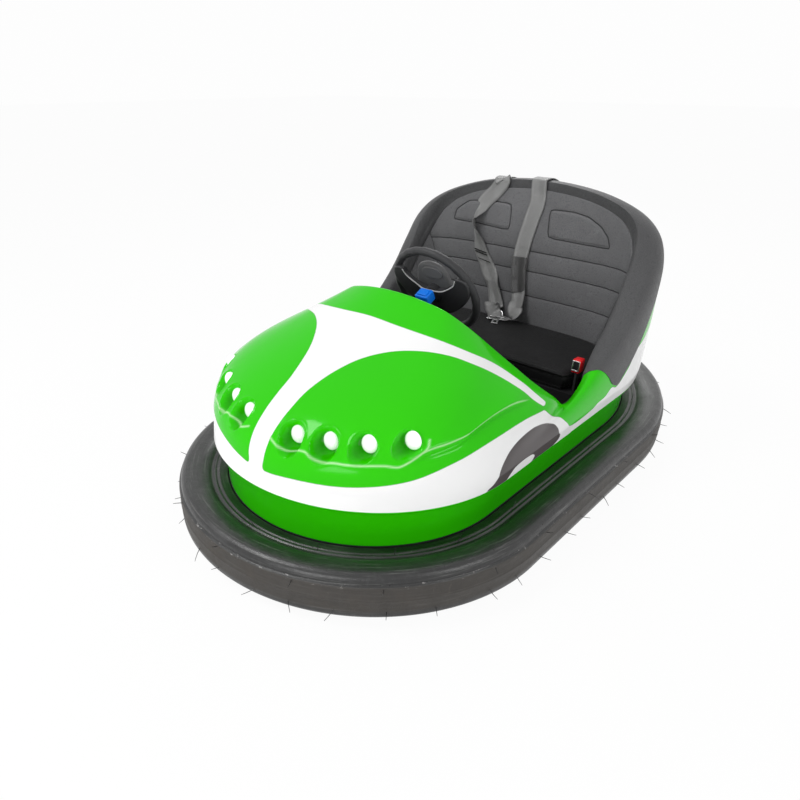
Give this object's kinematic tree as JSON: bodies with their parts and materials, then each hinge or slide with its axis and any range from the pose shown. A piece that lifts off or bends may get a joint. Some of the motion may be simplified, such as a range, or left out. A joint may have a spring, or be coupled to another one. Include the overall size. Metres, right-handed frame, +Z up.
{
  "type": "bumper car",
  "caption": "Fairground bumper car with a ring-shaped inflated rubber bumper, moulded body, bench seat, steered drive wheel and two rear wheels",
  "frame": {"origin": "on the floor, under the middle of the car's length and width", "axes": "+Z up, the car's front faces -Y, +X is to the driver's left"},
  "size_m": [1.1, 1.92, 0.7996],
  "materials": {
    "bumper_rubber": "satin",
    "wheel_rubber": "matte",
    "body_green": "gloss",
    "lamp_white": "gloss",
    "inner_black": "satin",
    "cushion_black": "satin",
    "seat_leather": "satin",
    "frame_steel": "satin",
    "bare_steel": "brushed",
    "motor_grey": "satin",
    "wheel_grip": "satin",
    "switch_blue": "gloss",
    "battery_case": "matte",
    "belt_webbing": "woven",
    "buckle_red": "gloss"
  },
  "bodies": {
    "car_body": {"bumper_tyre": "bumper_rubber", "bumper_channel": "frame_steel", "chassis_rails": "frame_steel", "chassis_crosses": "frame_steel", "floor_pan": "frame_steel", "skirt_front": "body_green", "skirt_rear": "body_green", "hood": "body_green", "rear_shell": "body_green", "lamps_left": "lamp_white", "lamps_right": "lamp_white", "dash_apron": "inner_black", "bulkhead": "inner_black", "side_panel_left": "inner_black", "side_panel_right": "inner_black", "bench_box": "inner_black", "seat_cushion": "cushion_black", "seat_lining": "seat_leather", "rim_roll": "seat_leather", "drive_bridge": "frame_steel", "turntable": "bare_steel", "column_post": "frame_steel", "column_tube": "inner_black", "switch_box": "switch_blue", "rear_bracket_left": "frame_steel", "rear_bracket_right": "frame_steel", "battery_left": "battery_case", "battery_right": "battery_case", "foot_pedal": "bare_steel", "belt_left": "belt_webbing", "belt_right": "belt_webbing", "belt_tongue": "bare_steel", "buckle_stalk": "belt_webbing", "belt_buckle": "buckle_red"},
    "steering": {"steering_shaft": "bare_steel", "steering_wheel": "wheel_grip", "wheel_pad": "wheel_grip"},
    "drive_unit": {"drive_fork": "frame_steel", "drive_motor": "motor_grey"},
    "drive_wheel": {"drive_hub": "bare_steel", "drive_tyre": "wheel_rubber"},
    "rear_wheel_left": {"rear_hub_left": "bare_steel", "rear_tyre_left": "wheel_rubber"},
    "rear_wheel_right": {"rear_hub_right": "bare_steel", "rear_tyre_right": "wheel_rubber"}
  },
  "joints": [
    {"name": "steering_turn", "type": "hinge", "parent": "car_body", "child": "steering", "pos_m": [0, -0.132, 0.569], "axis": [0, 0.887, 0.4617], "continuous": true},
    {"name": "drive_turn", "type": "hinge", "parent": "car_body", "child": "drive_unit", "pos_m": [0, -0.48, 0.25], "axis": [0, 0, 1], "continuous": true},
    {"name": "drive_roll", "type": "hinge", "parent": "drive_unit", "child": "drive_wheel", "pos_m": [0, -0.48, 0.095], "axis": [1, 0, 0], "continuous": true},
    {"name": "rear_roll_left", "type": "hinge", "parent": "car_body", "child": "rear_wheel_left", "pos_m": [0.275, 0.49, 0.08], "axis": [1, 0, 0], "continuous": true},
    {"name": "rear_roll_right", "type": "hinge", "parent": "car_body", "child": "rear_wheel_right", "pos_m": [-0.275, 0.49, 0.08], "axis": [1, 0, 0], "continuous": true}
  ],
  "couplings": [
    {"joint": "drive_turn", "follows": "steering_turn", "ratio": 1}
  ]
}
